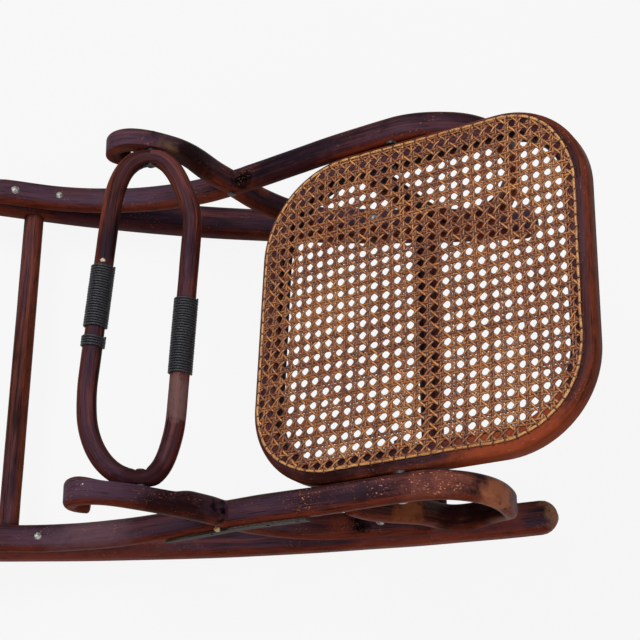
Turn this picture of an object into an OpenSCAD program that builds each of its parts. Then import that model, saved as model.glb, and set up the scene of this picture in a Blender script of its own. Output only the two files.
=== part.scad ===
// Rocking footstool of steam-bent wood: two runners, two pairs of bent side rods that cross,
// an oval heel ring between the rear scrolls and a caned panel that tilts between the front loops.
// +X points to the panel end, +Y to the left side, +Z up. The soles stand on Z = 0.

/* [Runners] */
// Radius of the curve that the soles rock on
sole_r = 1195; // [900:5:1600]
// Place along X where the soles touch the floor at rest
contact_x = 20; // [0:1:40]
// Height of a runner
runner_h = 26; // [22:0.5:32]
// Width of a runner
runner_w = 33; // [28:0.5:38]
// Reach of the runners in front of the origin
runner_front = 309; // [290:1:330]
// Reach of the runners behind the origin
runner_back = 316; // [305:1:340]
// Half of the runners' spacing at the rear stretcher
rear_half = 189; // [175:1:200]
// Half of the runners' spacing at the front stretcher
front_half = 169; // [160:1:180]
// How much closer together the rods rest there than the runners
rest_inset = 3.5; // [0:0.5:4]

/* [Side rods] */
// Width of the bent side rods, across the frame
rod_w = 27; // [23:0.5:30]
// Thickness of the bent side rods
rod_t = 20; // [16:0.5:22]
// Thickness where a rod is thinned for its tightest bends
curl_t = 14; // [11:0.5:16]
// Thickness left at a tapered rod end
tip_t = 7; // [5:0.5:9]
// Place along X of the crossing of the side rods
cross_x = -24; // [-30:1:-10]
// Height of the crossing of the side rods
cross_z = 115; // [108:1:122]
// Half of the rods' spacing at the heel ring
ring_half = 178; // [170:1:186]
// Half of the rods' spacing at the panel's pivots
tilt_half = 181; // [174:1:188]
// Slope of the arm rods from the crossing to the panel's pivots, in degrees
arm_rise = 33; // [31:0.5:35]
// How much farther the hand-bent left loop reaches than the right one
loop_skew = 22; // [0:1:24]
// How far the left scroll stands in front of the right one
scroll_skew = 23; // [0:1:26]

/* [Stretchers] */
// Diameter of the rear stretcher
rear_d = 21; // [18:0.5:24]
// Diameter of the front stretcher
front_d = 24; // [20:0.5:24.5]
// Place along X of the rear stretcher
rear_x = -245; // [-250:1:-232]
// Place along X of the front stretcher
front_x = 185; // [180:1:190]
// Diameter of the stretchers' round tenons
tenon_d = 14; // [10:0.5:16]
// Length of the stretchers' round tenons
tenon_len = 18; // [12:1:22]

/* [Heel ring] */
// Diameter of the ring's round section
ring_d = 19; // [16:0.5:22]
// Distance between the ring's two bars, centre to centre
ring_span = 81; // [74:1:92]
// Place along X of the ring's swivel axis
ring_x = -100; // [-104:1:-96]
// Diameter of the cord that is wound on the ring
cord_d = 2.6; // [2:0.1:2.8]
// Distance between neighbouring turns of the cord
cord_pitch = 3.4; // [3.3:0.1:3.8]
// Turns in the winding on the front bar
front_turns = 22; // [10:1:24]
// Turns in the long winding on the rear bar
rear_turns = 18; // [8:1:20]
// Turns in the short winding on the rear bar
short_turns = 3; // [2:1:4]

/* [Panel] */
// Length of the panel, from its low edge to its high edge
panel_len = 352; // [340:1:366]
// Thickness of the panel's frame
panel_t = 22; // [18:0.5:25]
// Width of the panel's bent frame, seen from above
panel_rim = 24; // [20:0.5:28]
// Slope of the panel at rest, in degrees
panel_slope = 30.5; // [24:0.5:36]
// Place along X of the panel's tilting axis
tilt_x = 138; // [132:1:144]
// Distance from the panel's low edge to its tilting axis
low_reach = 155; // [148:1:160]
// Height of the frame's face over the tilting axis
face_rise = 6; // [5:0.5:8]
// Outer radius of the high right corner
high_right_r = 106; // [80:1:115]
// Outer radius of the high left corner
high_left_r = 86; // [70:1:110]
// Outer radius of the low right corner
low_right_r = 60; // [50:1:80]
// Outer radius of the low left corner
low_left_r = 70; // [50:1:80]
// Gaps of the cane along the panel
cane_cols = 18; // [12:1:18]
// Gaps of the cane across the panel
cane_rows = 16; // [10:1:16]
// Thickness of the cane
cane_t = 1.2; // [0.8:0.1:1.6]
// Width of the binder cane round the edge
binder_w = 5; // [4:0.5:6]

/* [Fastenings] */
// Diameter of the tilt bolts and the ring bolts
bolt_d = 6; // [5:0.5:7]
// Radial clearance of a turning bolt in its hole
bolt_fit = 0.05; // [0.02:0.01:0.1]
// Width across the flats of the nuts
nut_w = 10; // [9:0.5:12]
// Thickness of the nuts
nut_t = 5; // [4:0.5:6]
// Thickness of the washers between the rods and what turns
washer_t = 2.4; // [1.8:0.1:3]
// Diameter of the screws that hold the rods to the runners
screw_d = 5; // [4:0.5:6]
// Length along X of the mending splint on the right arm rod
splint_len = 138; // [120:1:140]

/* [Hidden] */
bore_fn = 48;
joint_gap = 0.3;
rest_gap = 0.06;
seat_depth = 0.7;
rod_round = 9.4;
wood = [0.30, 0.13, 0.10];
dark_wood = [0.20, 0.09, 0.08];
cane_tan = [0.72, 0.45, 0.24];
binder_tan = [0.84, 0.62, 0.38];
black_cord = [0.08, 0.08, 0.09];
steel = [0.62, 0.62, 0.60];
dark_steel = [0.16, 0.16, 0.17];
grey_strip = [0.38, 0.35, 0.32];

// Heights and places on the soles
function sole_z(x) = sole_r - sqrt(sole_r * sole_r - pow(x - contact_x, 2));
function sole_slope(x) = asin((x - contact_x) / sole_r);
function seat_z(x, t) = sole_z(x) + (runner_h + rest_gap + t / 2) / cos(sole_slope(x));

// A knot is [x, z, heading, thickness]. One on a runner lies flat on it.
function seated(x, t, back = 0) = [x, seat_z(x, t), sole_slope(x) + back, t];

// The runners are splayed, while the rods stand parallel at the height of the panel
low_z = 60;
high_z = 180;
function ease(t) = let (c = max(0, min(1, t))) c * c * (3 - 2 * c);
function floor_half(x) = rear_half + (front_half - rear_half) * (x - rear_x) / (front_x - rear_x);
function top_half(x) = ring_half + (tilt_half - ring_half) * ease((x - ring_x) / (tilt_x - ring_x));
function rest_half(x) = floor_half(x) - rest_inset * ease((x - rear_x) / (front_x - rear_x));
function side_y(x, z) = rest_half(x) + (top_half(x) - rest_half(x))
    * ease((z - low_z) / (high_z - low_z));

// A smooth curve from one knot to the next, close to a circular arc
function wrap(a) = a - 360 * round(a / 360);
function pull(a, b) = let (turn = abs(wrap(b[2] - a[2])))
    norm([b[0] - a[0], b[1] - a[1]]) * (turn < 1 ? 1 : 2 * tan(turn / 4) / sin(turn / 2));
function on_curve(a, b, t) = let (m = pull(a, b), h0 = 2 * t * t * t - 3 * t * t + 1,
    h1 = t * t * t - 2 * t * t + t, h2 = 3 * t * t - 2 * t * t * t, h3 = t * t * t - t * t)
    [h0 * a[0] + h1 * m * cos(a[2]) + h2 * b[0] + h3 * m * cos(b[2]),
     h0 * a[1] + h1 * m * sin(a[2]) + h2 * b[1] + h3 * m * sin(b[2])];
function curve_dir(a, b, t) = let (d = on_curve(a, b, t + 0.01) - on_curve(a, b, t - 0.01))
    atan2(d[1], d[0]);
function station(a, b, t) = concat(on_curve(a, b, t), [curve_dir(a, b, t),
    a[3] + (b[3] - a[3]) * (3 * t * t - 2 * t * t * t)]);
step_len = 15;
step_turn = 15;
function steps(a, b) = max(2, ceil(max(norm([b[0] - a[0], b[1] - a[1]]) / step_len,
    abs(wrap(b[2] - a[2])) / step_turn)));
function route(knots) = concat([knots[0]], [for (i = [1 : len(knots) - 1])
    let (n = steps(knots[i - 1], knots[i])) for (j = [1 : n])
    j < n ? station(knots[i - 1], knots[i], j / n) : knots[i]]);

// Section of a rod, as [across, up] points round a rounded rectangle
corner_cut = 1 - cos(45);
function section(w, t, r) = [for (q = [[1, 1], [-1, 1], [-1, -1], [1, -1]])
    let (c = [[0, r], [r * corner_cut, r * corner_cut], [r, 0]], k = q[0] * q[1] > 0)
    for (p = k ? c : [c[2], c[1], c[0]]) [q[0] * (w / 2 - p[0]), q[1] * (t / 2 - p[1])]];

// One tube of faces round a row of rings that all have m points
module skin(rings, closed = false) {
    m = len(rings[0]);
    n = len(rings);
    last = (n - 1) * m;
    spans = closed ? n - 1 : n - 2;
    polyhedron(points = [for (r = rings) for (p = r) p], faces = concat(
        closed ? [] : [[for (k = [m - 1 : -1 : 0]) k]],
        [for (i = [0 : spans]) for (k = [0 : m - 1])
            [i * m + k, i * m + (k + 1) % m, (i + 1) % n * m + k]],
        [for (i = [0 : spans]) for (k = [0 : m - 1])
            [i * m + (k + 1) % m, (i + 1) % n * m + (k + 1) % m, (i + 1) % n * m + k]],
        closed ? [] : [[for (k = [0 : m - 1]) last + k]]), convexity = 8);
}

// A bent rod of one side, from its stations; grow makes the cutter of a joint
module bent_rod(stations, w) {
    skin([for (s = stations) let (r = min(rod_round, s[3] / 2 - 0.6))
        [for (p = section(w, s[3], r)) [s[0] - p[1] * sin(s[2]), side_y(s[0], s[1]) + p[0],
            s[1] + p[1] * cos(s[2])]]]);
}

// The left side is drawn; the right side is its mirror image
module right_side() mirror([0, 1, 0]) children();

// A straight stretch of a rod through the crossing, at d from its middle
function lap_knot(d, dir) = [cross_x + d * cos(dir), cross_z + d * sin(dir), dir, rod_t];
lap_reach = 17;

// Arm rod: it lies on the runner, crosses the scroll rod, carries the panel and loops back.
// The side is 1 on the left and -1 on the right.
foot_x = -298;
tip_len = 30;
rod_drop = 3;
tilt_z = cross_z + (tilt_x - cross_x) * tan(arm_rise) - rod_drop;
peak_x = 183;
loop_x = 256;
rest_x = 214;
// The loop's tail butts on the underside of the arm
tail_x = 86;
tail_drop = rod_t / 2 + joint_gap;
tail_dir = arm_rise + 90;
tail_end = [tail_x + tail_drop * sin(arm_rise),
    cross_z + (tail_x - cross_x) * tan(arm_rise) - tail_drop * cos(arm_rise), tail_dir, curl_t];
function arm_knots(side) = let (skew = side * loop_skew / 2) [seated(foot_x, tip_t),
    seated(foot_x + tip_len, rod_t), seated(-226, rod_t), [-158, 61, 6, rod_t],
    lap_knot(-lap_reach, arm_rise), lap_knot(lap_reach, arm_rise),
    [tilt_x, tilt_z + rod_drop, arm_rise - 2, rod_t], [peak_x + skew, 231, -4, 17],
    [loop_x + skew, 128, -91, curl_t], seated(rest_x + skew / 2, curl_t, 180),
    [158, 96, 134, curl_t], tail_end];

// Scroll rod: a tucked curl behind, then down through the crossing to the runner
scroll_dir = -52;
tail_tip_x = 178;
function scroll_knots(side) = let (skew = side * scroll_skew / 2) [[-135 + skew, 175, 180, 12],
    [-151 + skew, 190, 90, curl_t], [-130 + skew, 206, -4, 17], [-92 + skew, 189, -34, rod_t],
    lap_knot(-lap_reach, scroll_dir), lap_knot(lap_reach, scroll_dir), seated(98, rod_t),
    seated(tail_tip_x - tip_len, rod_t), seated(tail_tip_x, tip_t)];
function at_x(knots, x) = let (p = route(knots), i = [for (j = [1 : len(p) - 1])
    if (p[j][0] >= x && p[j - 1][0] < x) j][0], a = p[i - 1], b = p[i])
    a + (b - a) * (x - a[0]) / (b[0] - a[0]);

// The ring's axis passes through the middle of both scroll rods, so it tips a little
ring_left_z = at_x(scroll_knots(1), ring_x)[1];
ring_right_z = at_x(scroll_knots(-1), ring_x)[1];
ring_z = (ring_left_z + ring_right_z) / 2;
ring_tip = atan((ring_left_z - ring_right_z) / 2 / ring_half);
ring_out = ring_half / cos(ring_tip);
module on_ring_axis(side = 1) translate([ring_x, 0, ring_z]) rotate([side * ring_tip, 0, 0]) children();

// Half-lap: each rod gives up half its width where the other passes
module lap_notch(dir, side) {
    translate([cross_x, side_y(cross_x, cross_z) + side * rod_w / 2, cross_z]) rotate([0, -dir, 0])
        cube([2.4 * rod_t, rod_w + lap_gap, rod_t + 2 * lap_gap], center = true);
}
lap_gap = 0.1;

// A shank and head along +Z, standing on the surface at the origin
module screw(d, length, head_d, head_h) {
    translate([0, 0, -length]) cylinder(d = d, h = length, $fn = bore_fn);
    rotate_extrude($fn = bore_fn) dome_profile(head_d / 2, head_h);
}
module dome_profile(r, h) {
    ball = (r * r + h * h) / (2 * h);
    intersection() {
        translate([0, h - ball]) circle(r = ball, $fn = 96);
        square([r, h]);
    }
}

// Places of the screws that hold the rods down
foot_screw_xs = [-258, -212];
tail_screw_x = 127;
screw_len = rod_t + 16;
module on_rod_top(x) {
    slope = sole_slope(x);
    z = seat_z(x, 2 * rod_t);
    translate([x, side_y(x, z), z - seat_depth]) rotate([0, -slope, 0]) children();
}
module screw_seats() {
    for (x = foot_screw_xs) on_rod_top(x) {
        cylinder(d = 2 * screw_d + 1, h = rod_t, $fn = bore_fn);
        translate([0, 0, -screw_len - 1]) cylinder(d = screw_d + 0.1, h = screw_len + 2, $fn = bore_fn);
    }
    on_rod_top(tail_screw_x) {
        cylinder(d = 2 * screw_d + 1, h = rod_t, $fn = bore_fn);
        translate([0, 0, -screw_len - 1]) cylinder(d = screw_d + 0.1, h = screw_len + 2, $fn = bore_fn);
    }
}

// A hole along Y with a flat seat on either face of a rod that lies at half from the middle
module cross_bore(half, d, seat_d) {
    rotate([-90, 0, 0]) translate([0, 0, half]) {
        cylinder(d = d, h = 2 * rod_w, center = true, $fn = bore_fn);
        for (s = [-1, 1]) translate([0, 0, s * (rod_w - seat_depth)])
            cylinder(d = seat_d, h = rod_w, center = true, $fn = bore_fn);
    }
}
module on_tilt_axis() translate([tilt_x, 0, tilt_z]) children();
module on_crossing() translate([cross_x, 0, cross_z]) children();

washer_d = 2.4 * bolt_d;
rivet_d = 5;

// Runner
module runner() {
    nose = runner_w / 2;
    n = 34;
    ends = [0, 0.08, 0.3, 0.65, 1];
    xs = concat([for (e = ends) -runner_back + e * nose],
        [for (i = [1 : n - 1]) -runner_back + nose + i * (runner_front + runner_back - 2 * nose) / n],
        [for (i = [len(ends) - 1 : -1 : 0]) runner_front - ends[i] * nose]);
    difference() {
        skin([for (x = xs) let (reach = min(x + runner_back, runner_front - x, nose) / nose,
            k = max(0.12, sqrt(1 - pow(1 - reach, 2))), w = runner_w * k, h = runner_h * (0.45 + 0.55 * k),
            slope = sole_slope(x), y = floor_half(x), c = [x - sin(slope) * runner_h / 2,
            sole_z(x) + cos(slope) * runner_h / 2])
            [for (p = section(w, h, min(9, w / 2 - 0.4, h / 2 - 0.4)))
                [c[0] - p[1] * sin(slope), y + p[0], c[1] + p[1] * cos(slope)]]]);
        screw_seats();
        for (s = [[rear_x, rear_half], [front_x, front_half]])
            translate([s[0], s[1] - runner_w / 2 - 1, stretcher_z(s[0])]) rotate([-90, 0, 0])
                cylinder(d = tenon_d + 0.1, h = tenon_len + 1.5 + seat_depth, $fn = bore_fn);
        for (s = [[rear_x, rear_half, rear_d], [front_x, front_half, front_d]])
            translate([s[0], s[1] - runner_w / 2 - 1, stretcher_z(s[0])]) rotate([-90, 0, 0])
                cylinder(d = s[2] + 1, h = 1 + seat_depth, $fn = bore_fn);
    }
}
function stretcher_z(x) = sole_z(x) + runner_h / 2 / cos(sole_slope(x));
module left_runner() color(wood) runner();
module right_runner() color(wood) right_side() runner();

// Arm rod and scroll rod
seat_d = washer_d + 1;
rivet_seat_d = 2 * rivet_d + 1;
module arm_rod(side) {
    difference() {
        bent_rod(route(arm_knots(side)), rod_w);
        lap_notch(scroll_dir, 1);
        screw_seats();
        on_tilt_axis() cross_bore(side_y(tilt_x, tilt_z), bolt_d + 0.1, seat_d);
        on_crossing() cross_bore(side_y(cross_x, cross_z), rivet_d + 0.1, rivet_seat_d);
        loop_dowel(0.05);
        if (side < 0) splint_holes();
    }
}
module scroll_rod(side) {
    difference() {
        bent_rod(route(scroll_knots(side)), rod_w);
        lap_notch(arm_rise, -1);
        screw_seats();
        on_ring_axis(side) cross_bore(ring_out, bolt_d + 0.1, seat_d);
        on_crossing() cross_bore(side_y(cross_x, cross_z), rivet_d + 0.1, rivet_seat_d);
    }
}
module left_arm_rod() color(wood) arm_rod(1);
module right_arm_rod() color(wood) right_side() arm_rod(-1);
module left_scroll_rod() color(wood) scroll_rod(1);
module right_scroll_rod() color(wood) right_side() scroll_rod(-1);

// Dowel that pins the loop's tail to the arm
dowel_d = 6;
dowel_len = 20;
dowel_in_tail = 12;
module loop_dowel(grow) {
    translate([tail_end[0], side_y(tail_end[0], tail_end[1]), tail_end[1]])
        rotate([0, 90 - tail_dir, 0]) translate([0, 0, -dowel_in_tail - grow])
        cylinder(d = dowel_d + 2 * grow, h = dowel_len + 2 * grow, $fn = bore_fn);
}
module loop_dowels() color(dark_wood) {
    loop_dowel(0);
    right_side() loop_dowel(0);
}

// Stretchers
module stretcher(x, half, d) {
    body = half - runner_w / 2 + seat_depth - 0.1;
    translate([x, 0, stretcher_z(x)]) rotate([90, 0, 0]) {
        cylinder(d = d, h = 2 * body, center = true, $fn = 64);
        cylinder(d = tenon_d, h = 2 * (body + tenon_len), center = true, $fn = 64);
    }
}
module rear_stretcher() color(wood) stretcher(rear_x, rear_half, rear_d);
module front_stretcher() color(wood) stretcher(front_x, front_half, front_d);

// Heel ring, drawn in its own plane round its axis: two straight bars and bent ends.
// Its bars lean to the right rear, as it was bent by hand.
ring_seat = 1.2;
ring_reach = ring_out - rod_w / 2 + seat_depth - washer_t - joint_gap + ring_seat;
ring_end = ring_reach - ring_d / 2;
bar_lean = 5;
bar_y = 88;
rear_bar = [[-ring_span / 2 - bar_lean - 3, -bar_y], [bar_lean - 1.5 - ring_span / 2, bar_y]];
front_bar = [[ring_span / 2 - bar_lean, -bar_y], [ring_span / 2 + 3, bar_y]];
function bar_dir(bar) = atan2(bar[1][1] - bar[0][1], bar[1][0] - bar[0][0]);
ring_knots = [[0, ring_end, 180, ring_d], concat(rear_bar[1], [bar_dir(rear_bar) + 180, ring_d]),
    concat(rear_bar[0], [bar_dir(rear_bar) + 180, ring_d]), [0, -ring_end, 0, ring_d],
    concat(front_bar[0], [bar_dir(front_bar), ring_d]), concat(front_bar[1], [bar_dir(front_bar), ring_d]),
    [0, ring_end, 180, ring_d]];
ring_sides = 16;
module heel_ring() color(wood) on_ring_axis() difference() {
    path = route(ring_knots);
    skin([for (i = [0 : len(path) - 2]) let (s = path[i]) [for (k = [0 : ring_sides - 1])
        let (a = 360 * k / ring_sides, out = s[3] / 2 * cos(a))
        [s[0] + out * sin(s[2]), s[1] - out * cos(s[2]), s[3] / 2 * sin(a)]]], closed = true);
    rotate([90, 0, 0])
        cylinder(d = bolt_d + 2 * bolt_fit, h = 2 * ring_reach + 1, center = true, $fn = bore_fn);
    // Flats for the washers outside and for the nuts inside
    for (s = [0, 1]) mirror([0, s, 0]) {
        translate([-ring_d, ring_reach - ring_seat, -ring_d]) cube([2 * ring_d, 4 * ring_seat, 2 * ring_d]);
        translate([0, ring_reach - ring_d - ring_d, 0]) rotate([-90, 0, 0])
            cylinder(d = seat_d, h = ring_d + ring_seat, $fn = bore_fn);
    }
}

// Windings: each is one unbroken cord, with straight ends laid along the bar
wind_rings = 16;
wind_lift = 0.35;
wind_r = ring_d / 2 + cord_d / 2 + wind_lift;
function cord_round(c, u, v) = [for (k = [0 : 5]) c + cord_d / 2 * (cos(60 * k) * u + sin(60 * k) * v)];
function turn_point(a) = [wind_r * cos(a), cord_pitch * a / 360, wind_r * sin(a)];
function turn_dir(a) = let (d = turn_point(a + 1) - turn_point(a - 1)) d / norm(d);
module winding(turns) {
    rings = [for (i = [0 : turns * wind_rings]) let (a = i * 360 / wind_rings, c = turn_point(a),
        out = [cos(a), 0, sin(a)]) cord_round(c, out, cross(turn_dir(a), out))];
    first = turn_point(0);
    last = turn_point(turns * 360);
    lead = [for (e = [[first, turn_dir(0), -1]]) cord_round(e[0] + e[2] * cord_d * e[1], [1, 0, 0],
        cross(e[1], [1, 0, 0]))];
    tail = [cord_round(last + cord_d * turn_dir(turns * 360), [1, 0, 0], cross(turn_dir(turns * 360), [1, 0, 0]))];
    translate([0, -turns * cord_pitch / 2, 0]) skin(concat(lead, rings, tail));
}
// Least gap between a turn and its neighbours, measured on points of two turns
wind_gap = min([for (a = [0 : 15 : 360]) for (b = [270 : 15 : 720])
    if (b - a >= 270) norm(turn_point(a) - turn_point(b)) - cord_d]);
echo(winding_gap = wind_gap);
front_wind_y = -24;
rear_wind_y = 16;
short_wind_y = rear_wind_y - rear_turns * cord_pitch / 2 - 10 - short_turns * cord_pitch / 2;
function on_bar(bar, y) = bar[0] + (bar[1] - bar[0]) * (y - bar[0][1]) / (bar[1][1] - bar[0][1]);
module wound(bar, y, turns) color(black_cord) on_ring_axis()
    translate(on_bar(bar, y)) rotate([0, 0, bar_dir(bar) - 90]) winding(turns);
module front_bar_winding() wound(front_bar, front_wind_y, front_turns);
module rear_bar_winding() wound(rear_bar, rear_wind_y, rear_turns);
module short_winding() wound(rear_bar, short_wind_y, short_turns);

// Panel: drawn flat round its tilting axis, then sloped
module tilted() on_tilt_axis() rotate([0, -panel_slope, 0]) children();
panel_half = side_y(tilt_x, tilt_z) - rod_w / 2 + seat_depth - washer_t - joint_gap;
high_reach = panel_len - low_reach;
rim_round = 5;
// Corners as [x, y, radius], each with the centre of its curve
function corner(high, side, r) = [high ? high_reach - r : r - low_reach, side * (panel_half - r), r];
corners = [corner(true, 1, high_left_r), corner(false, 1, low_left_r),
    corner(false, -1, low_right_r), corner(true, -1, high_right_r)];
module outline(inset) {
    for (c = corners) translate([c[0], c[1]]) circle(r = c[2] - inset, $fn = 96);
    polygon([for (i = [0 : 3]) let (c = corners[i], r = c[2] - inset, sx = sign(c[0]), sy = sign(c[1]),
        ends = [[c[0] + sx * r, c[1]], [c[0], c[1] + sy * r]])
        for (e = i % 2 == 0 ? ends : [ends[1], ends[0]]) e]);
}
// Section of the frame, its outer side at 0 and its face at the top
module rim_profile() translate([-panel_rim, face_rise - panel_t]) {
    translate([rim_round, 0]) square([panel_rim - 2 * rim_round, panel_t]);
    translate([0, rim_round]) square([panel_rim, panel_t - 2 * rim_round]);
    for (x = [rim_round, panel_rim - rim_round]) for (y = [rim_round, panel_t - rim_round])
        translate([x, y]) circle(r = rim_round, $fn = 32);
}
// A corner and the straight bar that leads from it to the next corner, anticlockwise
module rim_part(i) {
    c = corners[i];
    e = corners[(i + 1) % 4];
    length = abs(i % 2 == 0 ? c[0] - e[0] : c[1] - e[1]);
    translate([c[0], c[1]]) rotate([0, 0, 90 * i]) {
        rotate_extrude(angle = 90, $fn = 96) translate([c[2], 0]) rim_profile();
        translate([-length, c[2], 0]) rotate([90, 0, 90]) linear_extrude(height = length) rim_profile();
    }
}
module panel_frame() color(wood) tilted() difference() {
    for (i = [0 : 3]) rim_part(i);
    rotate([90, 0, 0]) cylinder(d = bolt_d + 2 * bolt_fit, h = 2 * panel_half + 1, center = true, $fn = bore_fn);
}

// Cane: a flat net over the opening, laced over the frame's face, under a binder
binder_in = 8;
cane_in = binder_in - 2;
net_in = panel_rim + 3;
module cane_panel() color(cane_tan) tilted() translate([0, 0, face_rise]) linear_extrude(height = cane_t)
    difference() {
        outline(cane_in);
        net_gaps();
    }
col_pitch = (panel_len - 2 * net_in) / cane_cols;
row_pitch = 2 * (panel_half - net_in) / cane_rows;
gap_d = 0.62 * min(col_pitch, row_pitch);
module net_gaps() {
    for (i = [0 : cane_cols - 1]) for (j = [0 : cane_rows - 1]) {
        x = -low_reach + net_in + (i + 0.5) * col_pitch;
        y = -panel_half + net_in + (j + 0.5) * row_pitch;
        if (inside(x, y)) translate([x, y]) rotate(22.5) circle(d = gap_d, $fn = 8);
    }
}
// True where a gap lies clear of the frame at the rounded corners
function past(c, x, y) = sign(c[1]) * (y - c[1]) > 0 && (c[0] > 0 ? x > c[0] : x < c[0]);
function inside(x, y) = len([for (c = corners) if (past(c, x, y)
    && norm([x - c[0], y - c[1]]) > c[2] - net_in + 2 - gap_d / 2) c]) == 0;
module binder_cane() color(binder_tan) tilted() translate([0, 0, face_rise + cane_t])
    linear_extrude(height = cane_t) difference() {
        outline(binder_in);
        outline(binder_in + binder_w);
    }

// Bolts through the rods: a domed head outside, the shank inward along -Y
module through_bolt(half, length) {
    translate([0, half + rod_w / 2 - seat_depth, 0]) rotate([-90, 0, 0])
        screw(bolt_d, length, 2 * bolt_d, bolt_d / 2);
}
module washer_at(half) {
    translate([0, half - rod_w / 2 + seat_depth, 0]) rotate([90, 0, 0]) difference() {
        cylinder(d = washer_d, h = washer_t, $fn = bore_fn);
        translate([0, 0, -1]) cylinder(d = bolt_d + 0.1, h = washer_t + 2, $fn = bore_fn);
    }
}
module nut_at(y) {
    translate([0, y, 0]) rotate([90, 0, 0]) difference() {
        cylinder(d = nut_w / cos(30), h = nut_t, $fn = 6);
        translate([0, 0, -1]) cylinder(d = bolt_d + 0.1, h = nut_t + 2, $fn = bore_fn);
    }
}
module both_sides() {
    children();
    right_side() children();
}
bolt_end = 4;
tilt_out = side_y(tilt_x, tilt_z);
tilt_bolt_len = rod_w - 2 * seat_depth + washer_t + 2 * joint_gap + panel_rim + nut_t + bolt_end;
ring_bolt_len = rod_w - 2 * seat_depth + washer_t + 2 * joint_gap + ring_d - 2 * ring_seat + nut_t + bolt_end;
module left_tilt_bolt() color(steel) on_tilt_axis() through_bolt(tilt_out, tilt_bolt_len);
module right_tilt_bolt() color(steel) right_side() on_tilt_axis() through_bolt(tilt_out, tilt_bolt_len);
module tilt_washers() color(steel) both_sides() on_tilt_axis() washer_at(tilt_out);
module tilt_nuts() color(steel) both_sides() on_tilt_axis() nut_at(panel_half - panel_rim - joint_gap);
module left_ring_bolt() color(dark_steel) on_ring_axis() through_bolt(ring_out, ring_bolt_len);
module right_ring_bolt() color(dark_steel) on_ring_axis() right_side() through_bolt(ring_out, ring_bolt_len);
module ring_washers() color(dark_steel) on_ring_axis() both_sides() washer_at(ring_out);
module ring_nuts() color(dark_steel) on_ring_axis() both_sides() nut_at(ring_reach - ring_d + ring_seat - joint_gap);

// Screws, rivets and the mend
module foot_screws() color(steel) both_sides() for (x = foot_screw_xs) on_rod_top(x)
    screw(screw_d, screw_len, 2 * screw_d, screw_d / 2);
module tail_screws() color(steel) both_sides() on_rod_top(tail_screw_x)
    screw(screw_d, screw_len, 2 * screw_d, screw_d / 2);
module crossing_rivets() color(dark_steel) both_sides() {
    y = side_y(cross_x, cross_z);
    reach = rod_w / 2 - seat_depth;
    translate([cross_x, y + reach, cross_z]) rotate([-90, 0, 0])
        screw(rivet_d, 2 * reach, 2 * rivet_d, rivet_h);
    translate([cross_x, y - reach, cross_z]) rotate([90, 0, 0]) screw(rivet_d, 0.01, 2 * rivet_d, rivet_h);
}
rivet_h = seat_depth + 0.2;
splint_t = 2.5;
splint_w = 9;
splint_x = -15;
splint_low = -3;
splint_y = rod_w / 2 + 0.4;
splint_n = 8;
splint_screw_d = 2.5;
splint_screw_len = 12;
splint_screw_xs = [splint_x - 0.17 * splint_len, splint_x + 0.23 * splint_len, splint_x + 0.43 * splint_len];
// The splint follows the arm rod's outer side, low enough to miss the rivet
function splint_at(x) = let (p = at_x(arm_knots(-1), x)) [p[0], side_y(p[0], p[1]) + splint_y,
    p[1] + splint_low, p[2]];
module mending_splint() color(grey_strip) right_side() difference() {
    skin([for (i = [0 : splint_n])
    let (s = splint_at(splint_x + (i / splint_n - 0.5) * splint_len), w = splint_w * (i == 0 ? 0.5 : 1))
    [for (p = [[1, 1], [0, 1], [0, -1], [1, -1]]) [s[0] - p[1] * w / 2 * sin(s[3]),
        s[1] + p[0] * splint_t, s[2] + p[1] * w / 2 * cos(s[3])]]]);
    splint_holes();
}
module on_splint() for (x = splint_screw_xs) {
    s = splint_at(x);
    translate([s[0], s[1] + splint_t + lap_gap, s[2]]) rotate([-90, 0, 0]) children();
}
module splint_holes() on_splint() translate([0, 0, -splint_screw_len - 1])
    cylinder(d = splint_screw_d + 0.1, h = splint_screw_len + 2, $fn = bore_fn);
module splint_screws() color(steel) right_side() on_splint()
    screw(splint_screw_d, splint_screw_len, 2 * splint_screw_d, splint_screw_d / 2);

right_runner();
left_runner();
right_arm_rod();
left_arm_rod();
right_scroll_rod();
left_scroll_rod();
rear_stretcher();
front_stretcher();
heel_ring();
front_bar_winding();
rear_bar_winding();
short_winding();
panel_frame();
cane_panel();
binder_cane();
right_tilt_bolt();
left_tilt_bolt();
tilt_washers();
tilt_nuts();
right_ring_bolt();
left_ring_bolt();
ring_washers();
ring_nuts();
foot_screws();
tail_screws();
crossing_rivets();
loop_dowels();
mending_splint();
splint_screws();
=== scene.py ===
import bmesh
import bpy
import math
import random
from mathutils import Matrix, Vector, noise


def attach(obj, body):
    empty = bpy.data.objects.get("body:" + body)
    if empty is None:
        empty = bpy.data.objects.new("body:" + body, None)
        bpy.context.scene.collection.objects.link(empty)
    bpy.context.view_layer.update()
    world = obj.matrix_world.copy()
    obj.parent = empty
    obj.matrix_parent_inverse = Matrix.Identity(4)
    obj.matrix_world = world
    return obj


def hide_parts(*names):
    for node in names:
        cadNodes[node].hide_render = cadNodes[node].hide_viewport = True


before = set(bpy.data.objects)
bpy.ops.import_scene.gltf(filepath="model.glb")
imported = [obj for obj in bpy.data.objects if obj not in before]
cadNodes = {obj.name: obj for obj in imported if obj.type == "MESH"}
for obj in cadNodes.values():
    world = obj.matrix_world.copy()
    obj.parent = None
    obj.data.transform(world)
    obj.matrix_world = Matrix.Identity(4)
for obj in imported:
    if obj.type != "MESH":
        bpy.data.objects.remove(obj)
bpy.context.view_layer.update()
scene = bpy.context.scene
mm = 0.001
bothSides = ((1, "left"), (-1, "right"))
print("frame loaded")

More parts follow.
